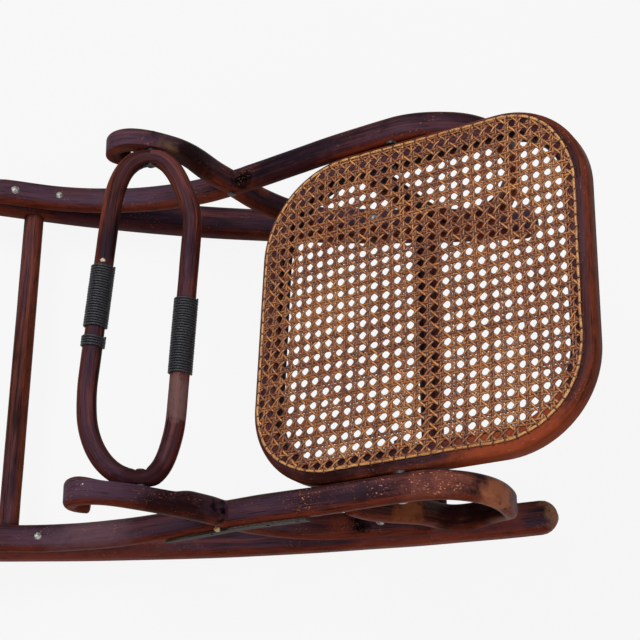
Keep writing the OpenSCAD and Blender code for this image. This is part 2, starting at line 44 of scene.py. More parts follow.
# Sizes that the rods and runners share, in millimetres and degrees
stool = {
    "soleR": 1195, "contactX": 20, "runnerH": 26, "runnerW": 33, "runnerFront": 309, "runnerBack": 316,
    "rearHalf": 189, "frontHalf": 169, "restInset": 3.5, "restGap": 0.06, "rearX": -245, "frontX": 185,
    "ringHalf": 178, "tiltHalf": 181, "ringX": -100, "tiltX": 138,
    "crossX": -24, "crossZ": 115, "armRise": 33, "scrollDir": -52,
    "rodW": 27, "rodT": 20, "curlT": 14, "tipT": 7,
}


def sin(a):
    return math.sin(math.radians(a))


def cos(a):
    return math.cos(math.radians(a))


def tan(a):
    return math.tan(math.radians(a))


def soleZ(x):
    return stool["soleR"] - math.sqrt(stool["soleR"] ** 2 - (x - stool["contactX"]) ** 2)


def soleSlope(x):
    return math.degrees(math.asin((x - stool["contactX"]) / stool["soleR"]))


def seated(x, thick, back=0):
    z = soleZ(x) + (stool["runnerH"] + stool["restGap"] + thick / 2) / cos(soleSlope(x))
    return (x, z, soleSlope(x) + back, thick)


def ease(t):
    c = min(1, max(0, t))
    return c * c * (3 - 2 * c)


def floorHalf(x):
    t = (x - stool["rearX"]) / (stool["frontX"] - stool["rearX"])
    return stool["rearHalf"] + (stool["frontHalf"] - stool["rearHalf"]) * t


def sideY(x, z):
    t = ease((x - stool["rearX"]) / (stool["frontX"] - stool["rearX"]))
    low = floorHalf(x) - stool["restInset"] * t
    high = stool["ringHalf"] + (stool["tiltHalf"] - stool["ringHalf"]) * ease(
        (x - stool["ringX"]) / (stool["tiltX"] - stool["ringX"]))
    return low + (high - low) * ease((z - 60) / 120)


# One smooth row of (x, z, heading, thickness) through the knots
def curve(knots, stepLen=4.0, stepTurn=5.0):
    out = []
    for a, b in zip(knots, knots[1:]):
        turn = abs((b[2] - a[2] + 180) % 360 - 180)
        reach = math.hypot(b[0] - a[0], b[1] - a[1])
        m = reach * (1 if turn < 1 else 2 * tan(turn / 4) / sin(turn / 2))
        n = max(2, math.ceil(max(reach / stepLen, turn / stepTurn)))
        for i in range(n):
            t = i / n
            h = (2 * t ** 3 - 3 * t * t + 1, t ** 3 - 2 * t * t + t, 3 * t * t - 2 * t ** 3, t ** 3 - t * t)
            d = (6 * t * t - 6 * t, 3 * t * t - 4 * t + 1, 6 * t - 6 * t * t, 3 * t * t - 2 * t)
            ends = [(a[k], m * (cos, sin)[k](a[2]), b[k], m * (cos, sin)[k](b[2])) for k in (0, 1)]
            x, z = (sum(p * q for p, q in zip(h, e)) for e in ends)
            dx, dz = (sum(p * q for p, q in zip(d, e)) for e in ends)
            out.append((x, z, math.degrees(math.atan2(dz, dx)), a[3] + (b[3] - a[3]) * ease(t)))
    return out + [tuple(knots[-1])]


def lapKnot(d, heading):
    return (stool["crossX"] + d * cos(heading), stool["crossZ"] + d * sin(heading), heading, stool["rodT"])


def armKnots(side):
    skew, rise, thick, curl = side * 11, stool["armRise"], stool["rodT"], stool["curlT"]
    drop = thick / 2 + 0.3
    tail = (86 + drop * sin(rise), stool["crossZ"] + 110 * tan(rise) - drop * cos(rise), rise + 90, curl)
    return [seated(-298, stool["tipT"]), seated(-268, thick), seated(-226, thick), (-158, 61, 6, thick),
            lapKnot(-17, rise), lapKnot(17, rise), (stool["tiltX"], 220.2, rise - 2, thick),
            (183 + skew, 231, -4, 17), (256 + skew, 128, -91, curl), seated(214 + skew / 2, curl, 180),
            (158, 96, 134, curl), tail]


def scrollKnots(side):
    skew, thick, curl = side * 11.5, stool["rodT"], stool["curlT"]
    return [(-135 + skew, 175, 180, 12), (-151 + skew, 190, 90, curl), (-130 + skew, 206, -4, 17),
            (-92 + skew, 189, -34, thick), lapKnot(-17, stool["scrollDir"]), lapKnot(17, stool["scrollDir"]),
            seated(98, thick), seated(148, thick), seated(178, stool["tipT"])]


# Points round a rounded rectangle, as (across, up), anticlockwise
def roundedSection(w, t, r, perCorner=8):
    pts = []
    for k, (cx, cy) in enumerate(((1, 1), (-1, 1), (-1, -1), (1, -1))):
        for j in range(perCorner):
            a = 90 * k + 90 * (j + 0.5) / perCorner
            pts.append((cx * (w / 2 - r) + r * cos(a), cy * (t / 2 - r) + r * sin(a)))
    return pts


# How far a bent piece strays from its true section at one point
def wander(making, d, across, up, seed):
    run, wide = making["wanderRun"], making["wanderAcross"]
    return making["wander"] * noise.noise(Vector((d / run, across / wide + seed, up / wide)))


# Draws a ring of points out along its row of rings. local gives each point's place in the section and the
# section's half sizes, for grain that follows the piece: attribute grain is (along, across, up) in metres,
# and attribute face is (across, up) as shares of the half sizes, with 1 as its third value on end caps.
def loft(name, sections, local, along, closed=False):
    count = len(sections[0])
    bm = bmesh.new()
    mark = bm.verts.layers.int.new("mark")
    first = bmesh.ops.create_circle(bm, cap_ends=False, segments=count, radius=0.01)["verts"]
    for k, v in enumerate(sorted(first, key=lambda v: math.atan2(v.co.y, v.co.x))):
        v[mark] = k
    edges = list(bm.edges)
    verts = first
    for i, row in enumerate(sections):
        if i:
            made = bmesh.ops.extrude_edge_only(bm, edges=edges)["geom"]
            verts = [g for g in made if isinstance(g, bmesh.types.BMVert)]
            edges = [g for g in made if isinstance(g, bmesh.types.BMEdge) and all(v in made for v in g.verts)]
            for v in verts:
                v[mark] = v[mark] % count + i * count
        for v in verts:
            v.co = row[v[mark] % count]
    grain = bm.loops.layers.float_vector.new("grain")
    face = bm.loops.layers.float_vector.new("face")

    def stamp(faces, cap):
        for f in faces:
            for lp in f.loops:
                i, k = divmod(lp.vert[mark], count)
                (across, up), half = local[i][0][k], local[i][1]
                lp[grain] = (along[i] * mm, across * mm, up * mm)
                lp[face] = (across / half[0], up / half[1], cap)

    stamp(bm.faces, 0)
    if closed:
        bmesh.ops.remove_doubles(bm, verts=bm.verts, dist=1e-5)
    else:
        for i in (0, len(sections) - 1):
            rim = [e for e in bm.edges if e.is_boundary and all(v[mark] // count == i for v in e.verts)]
            stamp(bmesh.ops.holes_fill(bm, edges=rim, sides=0)["faces"], 1)
    bmesh.ops.recalc_face_normals(bm, faces=bm.faces)
    return finished(name, bm)


def finished(name, bm, smooth=True):
    mesh = bpy.data.meshes.new(name)
    bm.to_mesh(mesh)
    bm.free()
    if smooth:
        mesh.shade_smooth()
    piece = bpy.data.objects.new(name, mesh)
    scene.collection.objects.link(piece)
    return piece


def dressed(piece, material, body, slot, *nodes):
    piece.data.materials.clear()
    piece.data.materials.append(material)
    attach(piece, body)
    if nodes:
        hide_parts(*nodes)


# Clears the nodes of a material or the world, and gives the function that adds a node, with its inputs
# linked where they are sockets and set where they are values
def nodeMaker(owner):
    owner.use_nodes = True
    tree = owner.node_tree
    tree.nodes.clear()

    def add(kind, inputs=None, **settings):
        made = tree.nodes.new("ShaderNode" + kind)
        for key, value in settings.items():
            setattr(made, key, value)
        for key, value in (inputs or {}).items():
            if isinstance(value, bpy.types.NodeSocket):
                tree.links.new(value, made.inputs[key])
            else:
                made.inputs[key].default_value = value
        return made

    return add


# A finish starts as a shader with its output
def newFinish(name, **constants):
    material = bpy.data.materials.new(name)
    add = nodeMaker(material)
    shader = add("BsdfPrincipled", {key.replace("_", " "): value for key, value in constants.items()})
    add("OutputMaterial", {"Surface": shader.outputs[0]})
    return material, add, shader, material.node_tree.links.new


# A screen colour as the linear one that the shaders take
def rgb(*screen):
    return tuple(c / 255 / 12.92 if c <= 10 else ((c / 255 + 0.055) / 1.055) ** 2.4 for c in screen) + (1,)


def streaks(add, where, scale, detail=4, rough=0.6, warp=0.0):
    spread = add("Mapping", {"Vector": where, "Scale": scale})
    return add("TexNoise", {"Vector": spread.outputs[0], "Scale": 1, "Detail": detail, "Roughness": rough,
                            "Distortion": warp}).outputs[0]


def between(add, value, low, high, start=0.0, end=1.0):
    return add("MapRange", {"Value": value, "From Min": low, "From Max": high, "To Min": start, "To Max": end},
               interpolation_type="SMOOTHSTEP").outputs[0]


def calc(add, operation, *values):
    return add("Math", dict(enumerate(values)), operation=operation).outputs[0]


def times(add, *values):
    made = values[0]
    for value in values[1:]:
        made = calc(add, "MULTIPLY", made, value)
    return made


# The base colour with a share of the top one laid over it
def over(add, base, top, share):
    return add("Mix", {0: share, 6: base, 7: top}, data_type="RGBA").outputs[2]


def stops(add, value, *colours):
    ramp = add("ValToRGB", {0: value})
    parts = ramp.color_ramp.elements
    for k, (place, colour) in enumerate(colours):
        part = parts[k] if k < 2 else parts.new(place)
        part.position, part.color = place, colour
    return ramp.outputs[0]


def splitUp(add, vector):
    return add("SeparateXYZ", {0: vector}).outputs


spotEdge = {"ragScale": 900, "ragReach": 3.2, "core": 0.6}


# Share of a marked place, worn or painted with light or shade: ragged, and fading out over the soft width. The
# centre is in metres, the radius and the soft width in millimetres.
def nearTo(add, centre, radius, soft):
    where = add("TexCoord").outputs["Object"]
    ragged = add("TexNoise", {"Vector": where, "Scale": spotEdge["ragScale"] / (radius + soft), "Detail": 5,
                              "Roughness": 0.7}).outputs[0]
    ragged = calc(add, "SUBTRACT", ragged, 0.5)
    gap = add("VectorMath", {0: where, 1: centre}, operation="DISTANCE").outputs["Value"]
    gap = calc(add, "ADD", gap, times(add, ragged, spotEdge["ragReach"] * (radius + soft) * mm))
    return between(add, gap, spotEdge["core"] * radius * mm, (radius + soft) * mm, 1, 0)


# Scales of the wood's streaks along and across the grain, per metre
woodGrain = {
    "coarse": (7, 190, 190), "fine": (30, 1100, 1100), "patch": (14, 30, 30), "wide": (5, 16, 16),
    "mottle": (60, 160, 160), "chips": (420, 620, 620), "field": (40, 60, 60),
}


def stainedWood(name, look):
    material, add, shader, link = newFinish(name, Specular_IOR_Level=look["specular"])
    if look["follow"] == "grain":
        along = add("Attribute", attribute_name="grain").outputs["Vector"]
        across, up, _ = splitUp(add, add("Attribute", attribute_name="face").outputs["Vector"])
    else:
        along = add("Mapping", {"Vector": add("TexCoord").outputs["Object"],
                                "Rotation": (0, 0, math.radians(-90))}).outputs[0]
        across = up = None
    coarse = streaks(add, along, woodGrain["coarse"], 5, 0.65, 0.4)
    fine = streaks(add, along, woodGrain["fine"], 3)
    patch = streaks(add, along, woodGrain["patch"], 3, 0.55)
    wide = streaks(add, along, woodGrain["wide"], 2, 0.5)
    mottle = streaks(add, along, woodGrain["mottle"], 4, 0.7)
    colour = stops(add, coarse, (0.36, look["dark"]), (0.5, look["mid"]), (0.66, look["light"]))
    colour = over(add, colour, look["dark"], between(add, patch, 0.5, 0.68, 0, 0.85))
    if across is not None:
        # Painted warm light: one side of each section turns orange, broken up by the mottle streaks
        side = between(add, across, look["litSideBand"][0], look["litSideBand"][1])
        paintedSideLight = times(add, side, between(add, mottle, 0.3, 0.6, 0.35, 1), look["litSideShare"])
        colour = over(add, colour, look["litSideTone"], paintedSideLight)
        # Painted sheen: a pale purple reflection along the middle of the top faces
        top = between(add, up, 0.35, 0.95)
        middle = between(add, calc(add, "ABSOLUTE", across), 0.45, 0.95, 1, 0.1)
        paintedSheen = times(add, top, middle, between(add, wide, 0.35, 0.62, 0.15, 1), look["sheenShare"])
        colour = over(add, colour, look["sheenTone"], paintedSheen)
    colour = over(add, colour, look["pore"], between(add, fine, 0.54, 0.68, 0, 0.75))
    # Marked places, painted shade and painted light among them, broken up by the mottle streaks
    for centre, radius, soft, tone, share in look.get("marks", ()):
        spot = times(add, nearTo(add, centre, radius, soft), between(add, mottle, 0.25, 0.55, 0.6, 1), share)
        colour = over(add, colour, tone, spot)
    if look.get("flecks"):
        chips = streaks(add, along, woodGrain["chips"], 2, 0.5)
        field = streaks(add, along, woodGrain["field"], 2, 0.5)
        dense = between(add, field, 0.5, 0.62, 0, look["flecks"])
        for centre, radius, soft in look.get("scratched", ()):
            dense = calc(add, "MAXIMUM", dense, nearTo(add, centre, radius, soft))
        chip = times(add, between(add, chips, 0.61, 0.68), dense)
        if up is not None:
            chip = times(add, chip, between(add, up, 0.2, 0.8))
        colour = over(add, colour, look["fleck"], chip)
    link(colour, shader.inputs["Base Color"])
    link(between(add, coarse, 0.25, 0.75, look["rough"][0], look["rough"][1]), shader.inputs["Roughness"])
    height = calc(add, "ADD", coarse, times(add, fine, 0.6))
    bump = add("Bump", {"Strength": 0.35, "Distance": look["relief"] * mm, "Height": height})
    link(bump.outputs[0], shader.inputs["Normal"])
    return material


# The side tone is painted warm light on one side of each piece, and the sheen tone is a painted reflection on the
# top faces
rodLook = {
    "follow": "grain", "dark": rgb(20, 9, 9), "mid": rgb(56, 27, 24), "light": rgb(96, 50, 38),
    "litSideTone": rgb(132, 54, 32), "litSideBand": (-0.5, -0.98), "litSideShare": 0.75,
    "sheenTone": rgb(82, 60, 76), "sheenShare": 0.7, "pore": rgb(10, 5, 6), "flecks": 0.25,
    "fleck": rgb(190, 130, 95), "specular": 0.015, "rough": (0.3, 0.5), "relief": 0.45,
}
# Marked places: centre, radius, soft width, colour and share. Painted shade: the dark places under the near loop,
# in the gaps of both crossings, on the scroll rods beside the ring's ends, over the far arm and where the near
# scroll rests on its runner. The purple-grey place low on the near arm is a painted sheen, and the two lighter
# places on the near loop's top and end are wear and painted light together. Where a dark one and a lighter one
# overlap, the later one lies on top.
rodMarks = [
    ((0.171, -0.181, 0.239), 16, 34, rgb(132, 74, 60), 0.6),
    ((0.224, -0.190, 0.214), 9, 30, rgb(176, 108, 76), 0.8),
    ((0.205, -0.156, 0.05), 28, 20, rgb(28, 10, 10), 0.8), ((0.1525, -0.175, 0.112), 10, 22, rgb(136, 76, 46), 0.8),
    ((-0.028, -0.170, 0.134), 3.5, 3, rgb(5, 3, 3), 1), ((-0.029, -0.179, 0.133), 3.2, 3, rgb(5, 3, 3), 1),
    ((-0.031, -0.188, 0.130), 2.8, 3, rgb(6, 3, 3), 1), ((-0.036, -0.176, 0.143), 3, 5, rgb(10, 4, 4), 0.9),
    ((-0.149, -0.1745, 0.2137), 0.4, 0.9, rgb(214, 198, 188), 0.7),
    ((0.048, 0.179, 0.174), 60, 50, rgb(16, 13, 22), 0.8),
    ((-0.062, 0.166, 0.172), 26, 24, rgb(24, 10, 10), 0.85), ((-0.081, 0.174, 0.2013), 4, 9, rgb(104, 78, 52), 0.6),
    ((-0.064, -0.183, 0.172), 24, 22, rgb(28, 10, 11), 0.8), ((-0.015, 0.175, 0.133), 9, 8, rgb(8, 5, 6), 1),
    ((0.007, 0.181, 0.093), 6, 9, rgb(124, 62, 36), 0.6), ((0.1036, -0.169, 0.049), 8, 6, rgb(5, 3, 3), 1),
    ((0.0845, -0.171, 0.049), 5, 12, rgb(112, 50, 38), 0.7), ((0.227, -0.192, 0.2072), 1, 2, rgb(40, 18, 14), 1),
    ((0.233, -0.194, 0.1933), 1, 2, rgb(40, 18, 14), 1), ((-0.161, -0.196, 0.068), 24, 34, rgb(104, 76, 84), 0.5),
]
# The orange places along the near runner's outer top edge are painted warm light, and the blue-black one along the
# far runner is painted shade
runnerMarks = [
    ((0.306, -0.160, 0.058), 8, 12, rgb(140, 100, 76), 0.8),
    ((-0.18, -0.199, 0.038), 60, 60, rgb(142, 74, 66), 0.5),
    ((0.197, -0.180, 0.0385), 55, 60, rgb(144, 66, 48), 0.6),
    ((-0.139, 0.1715, 0.035), 80, 60, rgb(36, 28, 42), 0.6),
]
# The dark place at the ring's near end is painted shade, and the pale pink-grey one at the near end of the front
# bar is a painted highlight
ringMarks = [
    ((-0.095, -0.158, 0.196), 20, 16, rgb(40, 15, 18), 0.8),
    ((-0.066, -0.09, 0.199), 16, 12, rgb(116, 88, 86), 0.6),
    ((-0.1418, 0.05, 0.205), 1.6, 1, rgb(206, 176, 152), 1),
]
# The orange place at the frame's near high corner is painted warm light, and the dark one low on its near side is
# painted shade
panelMarks = [
    ((0.221, -0.165, 0.269), 45, 50, rgb(146, 66, 38), 0.8),
    ((0.0745, -0.164, 0.185), 30, 40, rgb(28, 9, 8), 0.85),
]
# Scratched places: centre, radius and soft width
scratched = [((0.115, -0.181, 0.218), 10, 16), ((0.163, -0.181, 0.239), 12, 18), ((0.05, -0.18, 0.176), 8, 14)]
rodWood = stainedWood("rodWood", {**rodLook, "marks": rodMarks, "scratched": scratched})
runnerWood = stainedWood("runnerWood", {
    **rodLook, "light": rgb(104, 52, 38), "sheenTone": rgb(80, 62, 80), "sheenShare": 0.72, "marks": runnerMarks})
ringWood = stainedWood("ringWood", {
    **rodLook, "mid": rgb(62, 30, 24), "light": rgb(108, 56, 42), "litSideBand": (0.2, 0.95), "litSideShare": 0.3,
    "sheenShare": 0.4, "flecks": 0.0, "marks": ringMarks})
panelWood = stainedWood("panelWood", {
    **rodLook, "mid": rgb(62, 31, 26), "litSideBand": (0.35, 0.95), "litSideTone": rgb(118, 54, 34), "sheenShare": 0.35,
    "flecks": 0.2, "marks": panelMarks})
turnedWood = stainedWood("turnedWood", {
    **rodLook, "mid": rgb(70, 36, 30), "light": rgb(120, 62, 44), "litSideBand": (0.3, 0.95), "litSideTone": rgb(120, 56, 36),
    "sheenShare": 0.4, "flecks": 0.0})
dowelWood = stainedWood("dowelWood", {**rodLook, "follow": "object", "flecks": 0.0})

# The same for the cane, with the height of its fibres in millimetres
caneGrain = {
    "run": (35, 500, 500), "area": (14, 14, 14), "grime": (150, 700, 700), "speck": (780, 780, 780),
    "fibre": (60, 3500, 3500), "relief": 0.2,
}


def caneFinish(name, look):
    material, add, shader, link = newFinish(name, Coat_Weight=0.1, Coat_Roughness=0.35,
                                            Specular_IOR_Level=0.4)
    along = add("Attribute", attribute_name="grain").outputs["Vector"]
    tone = add("Attribute", attribute_name="tone").outputs["Fac"]
    place = add("TexCoord").outputs["Object"]
    run = streaks(add, along, caneGrain["run"], 3)
    area = streaks(add, place, caneGrain["area"], 2, 0.5)
    shade = calc(add, "ADD", times(add, tone, 0.4), times(add, run, 0.4))
    shade = calc(add, "ADD", shade, times(add, area, 0.3))
    colour = stops(add, shade, (0.3, look["dark"]), (0.5, look["mid"]), (0.72, look["light"]))
    grime = streaks(add, along, caneGrain["grime"], 4, 0.7)
    speck = streaks(add, place, caneGrain["speck"], 2, 0.7)
    colour = over(add, colour, look["light"], between(add, speck, 0.56, 0.66, 0, 0.8))
    colour = over(add, colour, look["dark"], between(add, speck, 0.47, 0.36, 0, 0.85))
    colour = over(add, colour, look["dark"], between(add, grime, 0.5, 0.66, 0, 0.8))
    # Painted shade towards each strand's edges
    side = calc(add, "ABSOLUTE", splitUp(add, add("Attribute", attribute_name="face").outputs["Vector"])[0])
    colour = over(add, colour, look["edge"], between(add, side, look["litCore"], 1, 0, 0.9))
    link(colour, shader.inputs["Base Color"])
    link(between(add, run, 0.3, 0.7, 0.35, 0.55), shader.inputs["Roughness"])
    fibre = streaks(add, along, caneGrain["fibre"], 2)
    bump = add("Bump", {"Strength": 0.3, "Distance": caneGrain["relief"] * mm, "Height": fibre})
    link(bump.outputs[0], shader.inputs["Normal"])
    return material


# Strands take painted shade from the lit share of their half width out to the edge, as a round strand would
caneTan = caneFinish("caneTan", {
    "dark": rgb(60, 26, 18), "mid": rgb(146, 78, 40), "light": rgb(214, 142, 78), "edge": rgb(48, 24, 18),
    "litCore": 0.25})
binderTan = caneFinish("binderTan", {
    "dark": rgb(92, 50, 28), "mid": rgb(176, 112, 60), "light": rgb(224, 172, 108), "edge": rgb(70, 36, 24),
    "litCore": 0.6})


def plainFinish(name, look):
    material, add, shader, link = newFinish(name, Metallic=look["metal"], Specular_IOR_Level=look["specular"])
    place = add("TexCoord").outputs["Object"]
    stain = streaks(add, place, look["scale"], 4, 0.65)
    speck = streaks(add, place, tuple(6 * s for s in look["scale"]), 3)
    colour = stops(add, stain, (0.32, look["dark"]), (0.5, look["mid"]), (0.68, look["light"]))
    colour = over(add, colour, look["dark"], between(add, speck, 0.56, 0.72, 0, 0.7))
    link(colour, shader.inputs["Base Color"])
    link(between(add, stain, 0.3, 0.7, look["rough"][0], look["rough"][1]), shader.inputs["Roughness"])
    bump = add("Bump", {"Strength": 0.4, "Distance": look["relief"] * mm, "Height": speck})
    link(bump.outputs[0], shader.inputs["Normal"])
    return material


steel = plainFinish("screwSteel", {
    "metal": 0.6, "specular": 0.5, "scale": (400, 400, 400), "dark": rgb(70, 66, 62), "mid": rgb(150, 148, 142),
    "light": rgb(205, 203, 196), "rough": (0.35, 0.6), "relief": 0.1})
darkIron = plainFinish("darkIron", {
    "metal": 0.5, "specular": 0.5, "scale": (350, 350, 350), "dark": rgb(14, 13, 14), "mid": rgb(34, 33, 36),
    "light": rgb(96, 96, 102), "rough": (0.3, 0.6), "relief": 0.12})
greyStrip = plainFinish("greyStrip", {
    "metal": 0.0, "specular": 0.3, "scale": (60, 500, 500), "dark": rgb(26, 20, 18), "mid": rgb(54, 43, 38),
    "light": rgb(82, 70, 62), "rough": (0.55, 0.8), "relief": 0.2})
blackCord = plainFinish("blackCord", {
    "metal": 0.0, "specular": 0.5, "scale": (900, 900, 900), "dark": rgb(12, 12, 14), "mid": rgb(26, 26, 30),
    "light": rgb(62, 64, 72), "rough": (0.4, 0.65), "relief": 0.15})
glue = plainFinish("glueBlob", {
    "metal": 0.0, "specular": 0.4, "scale": (300, 300, 300), "dark": rgb(150, 110, 70), "mid": rgb(200, 165, 115),
    "light": rgb(226, 196, 150), "rough": (0.4, 0.6), "relief": 0.2})
print("finishes made")


# Heel ring and its cord windings, drawn in the ring's own plane. The scroll rods are housed out for its ends.
ring = {
    "d": 19.0, "end": 163.4, "tip": 2.22946, "height": 193.513, "houseY": 171.1, "houseR": 27, "houseSoft": 34,
    "outerFlat": 168.4, "nutFlat": 155.1, "nutR": 6.5,
    "rear": ((-52, -64), (-39, 88)), "front": ((32.5, -88), (42.5, 88)),
    "rearShoulder": (-52.1, -100, 274), "frontShoulder": (28.7, -123, 77), "frontToe": (35, 124, 113),
    "wander": 0.25, "wanderRun": 35, "cord": 2.35, "pitch": 2.6, "slack": 0.35, "swell": 0.12,
    "frontWind": (-24, 29), "rearWind": (16, 24), "shortWind": (-29.7, 4),
}
ringPlace = Matrix.Translation((stool["ringX"] * mm, 0, ring["height"] * mm)) @ Matrix.Rotation(
    math.radians(ring["tip"]), 4, "X")


# Bent rods: how far they wander from their true section, the seat of the half-lap, and the rounded ends
rodMaking = {
    "wander": 0.35, "wanderRun": 42, "wanderAcross": 16, "neck": 0.5, "neckReach": 24, "neckTop": 150,
    "neckRim": 3, "roundEnd": 3.0, "endShare": 0.62, "corner": 9.4, "skin": 0.6,
}


# Adds the length so far and the section's share to each station, with close stations at both ends
def withRoundEnds(stations, reach):
    lengths = [0.0]
    for a, b in zip(stations, stations[1:]):
        lengths.append(lengths[-1] + math.hypot(b[0] - a[0], b[1] - a[1]))
    total = lengths[-1]
    ends = [0, 0.12, 0.4, 0.7, 1]
    wanted = [e * reach for e in ends] + [x for x in lengths if reach < x < total - reach]
    wanted += [total - e * reach for e in reversed(ends)]
    out = []
    k = 0
    for d in wanted:
        while k < len(lengths) - 2 and lengths[k + 1] < d:
            k += 1
        t = (d - lengths[k]) / (lengths[k + 1] - lengths[k])
        a, b = stations[k], stations[k + 1]
        turn = (b[2] - a[2] + 180) % 360 - 180
        edge = min(1, min(d, total - d) / reach)
        shrink = rodMaking["endShare"] + (1 - rodMaking["endShare"]) * math.sqrt(1 - (1 - edge) ** 2)
        out.append((a[0] + (b[0] - a[0]) * t, a[1] + (b[1] - a[1]) * t, a[2] + turn * t,
                    a[3] + (b[3] - a[3]) * t, d, shrink))
    return out


# neckSide is the side of the rod, along Y, that the half-lap thins a little
def bentRod(name, knots, side, neckSide, seed, housed=False):
    sections, local, along = [], [], []
    for x, z, heading, thick, d, shrink in withRoundEnds(curve(knots), rodMaking["roundEnd"]):
        w, t = stool["rodW"] * shrink, thick * shrink
        points = roundedSection(w, t, min(rodMaking["corner"], thick / 2 - rodMaking["skin"]) * shrink)
        gap = math.hypot(x - stool["crossX"], z - stool["crossZ"])
        neck = rodMaking["neck"] * ease(2 * (1 - gap / rodMaking["neckReach"])) if z < rodMaking["neckTop"] else 0
        row = []
        for across, up in points:
            size = 1 + wander(rodMaking, d, across, up, seed) / 12
            a = across * size - (neck * neckSide if across * neckSide > w / 2 - rodMaking["neckRim"] else 0)
            u = up * size
            px, py, pz = x - u * sin(heading), side * sideY(x, z) + a, z + u * cos(heading)
            if housed:
                gap = math.hypot(px - stool["ringX"], pz - ring["height"]) - ring["houseR"]
                py += side * (1 - ease(gap / ring["houseSoft"])) * max(0, ring["houseY"] - side * py)
            row.append(Vector((px, py, pz)) * mm)
        sections.append(row)
        local.append((points, (w / 2, t / 2)))
        along.append(d + 1000 * seed)
    return loft(name, sections, local, along)


for side, label in bothSides:
    arm = bentRod(label + "ArmRodBent", armKnots(side), side, side, 1.5 + side)
    dressed(arm, rodWood, "base", "bent_wood", label + "_arm_rod")
    scroll = bentRod(label + "ScrollRodBent", scrollKnots(side), side, -side, 5.5 + side, housed=True)
    dressed(scroll, rodWood, "base", "bent_wood", label + "_scroll_rod")
print("rods bent")


# Runners: rows along their length, shares of the nose's length where rows stand closer, and smallest shares
# of width and height at the tip
runnerMaking = {
    "rows": 130, "noseRows": (0, 0.02, 0.07, 0.15, 0.28, 0.45, 0.7, 1), "tipW": 0.12, "tipH": 0.45, "corner": 9,
    "skin": 0.4, "wander": 0.3, "wanderRun": 60, "wanderAcross": 20,
}


def runnerPiece(name, side, seed):
    nose = stool["runnerW"] / 2
    low, high = -stool["runnerBack"], stool["runnerFront"]
    edge, count = runnerMaking["noseRows"], runnerMaking["rows"]
    corner, skin, tipH = (runnerMaking[key] for key in ("corner", "skin", "tipH"))
    xs = [low + e * nose for e in edge]
    xs += [low + nose + i * (high - low - 2 * nose) / count for i in range(1, count)]
    xs += [high - e * nose for e in reversed(edge)]
    sections, local, along = [], [], []
    for x in xs:
        reach = min(x - low, high - x, nose) / nose
        k = max(runnerMaking["tipW"], math.sqrt(1 - (1 - reach) ** 2))
        w, h = stool["runnerW"] * k, stool["runnerH"] * (tipH + (1 - tipH) * k)
        slope = soleSlope(x)
        cx = x - sin(slope) * stool["runnerH"] / 2
        cz = soleZ(x) + cos(slope) * stool["runnerH"] / 2
        points = roundedSection(w, h, min(corner, w / 2 - skin, h / 2 - skin))
        row = []
        for across, up in points:
            wave = wander(runnerMaking, x, across, up, seed)
            a, u = across * (1 + wave / 14), up * (1 + min(0, wave) / 14)
            row.append(Vector((cx - u * sin(slope), side * floorHalf(x) + a, cz + u * cos(slope))) * mm)
        sections.append(row)
        local.append((points, (w / 2, h / 2)))
        along.append(x + 1000 * seed)
    return loft(name, sections, local, along)


for side, label in bothSides:
    runner = runnerPiece(label + "RunnerBent", side, 9.5 + side)
    dressed(runner, runnerWood, "base", "bent_wood", label + "_runner")
print("runners made")


def barDir(bar):
    return math.degrees(math.atan2(bar[1][1] - bar[0][1], bar[1][0] - bar[0][0]))


def heelRing():
    rear, front, d = ring["rear"], ring["front"], ring["d"]
    knots = [(0, ring["end"], 180, d), (*rear[1], barDir(rear) + 180, d), (*rear[0], barDir(rear) + 180, d),
             (*ring["rearShoulder"], d), (0, -ring["end"], 0, d), (*ring["frontShoulder"], d),
             (*front[0], barDir(front), d), (*front[1], barDir(front), d), (*ring["frontToe"], d),
             (0, ring["end"], 180, d)]
    stations = curve(knots)
    sections, local, along = [], [], []
    total = 0
    for i, (x, y, heading, thick) in enumerate(stations):
        if i:
            total += math.hypot(x - stations[i - 1][0], y - stations[i - 1][1])
        ends = i in (0, len(stations) - 1)
        wave = 0 if ends else ring["wander"] * noise.noise(Vector((total / ring["wanderRun"], 0, 4)))
        spots = [(thick / 2 * cos(a), thick / 2 * sin(a)) for a in range(0, 360, 12)]
        rows = []
        for p, q in [(p * (1 + wave / 10), q * (1 + wave / 10)) for p, q in spots]:
            px, py = x + p * sin(heading), y - p * cos(heading)
            if abs(px) < ring["nutR"] and abs(q) < ring["nutR"] and abs(py) < ring["end"]:
                py = math.copysign(max(abs(py), ring["nutFlat"]), py)  # seat of the nut
            py = max(-ring["outerFlat"], min(ring["outerFlat"], py))  # planed flat for the washer
            rows.append(ringPlace @ (Vector((px, py, q)) * mm))
        sections.append(rows)
        local.append((spots, (thick / 2, thick / 2)))
        along.append(total)
    return loft("heelRingBent", sections, local, along, closed=True)


dressed(heelRing(), ringWood, "ring", "turned_wood", "heel_ring")


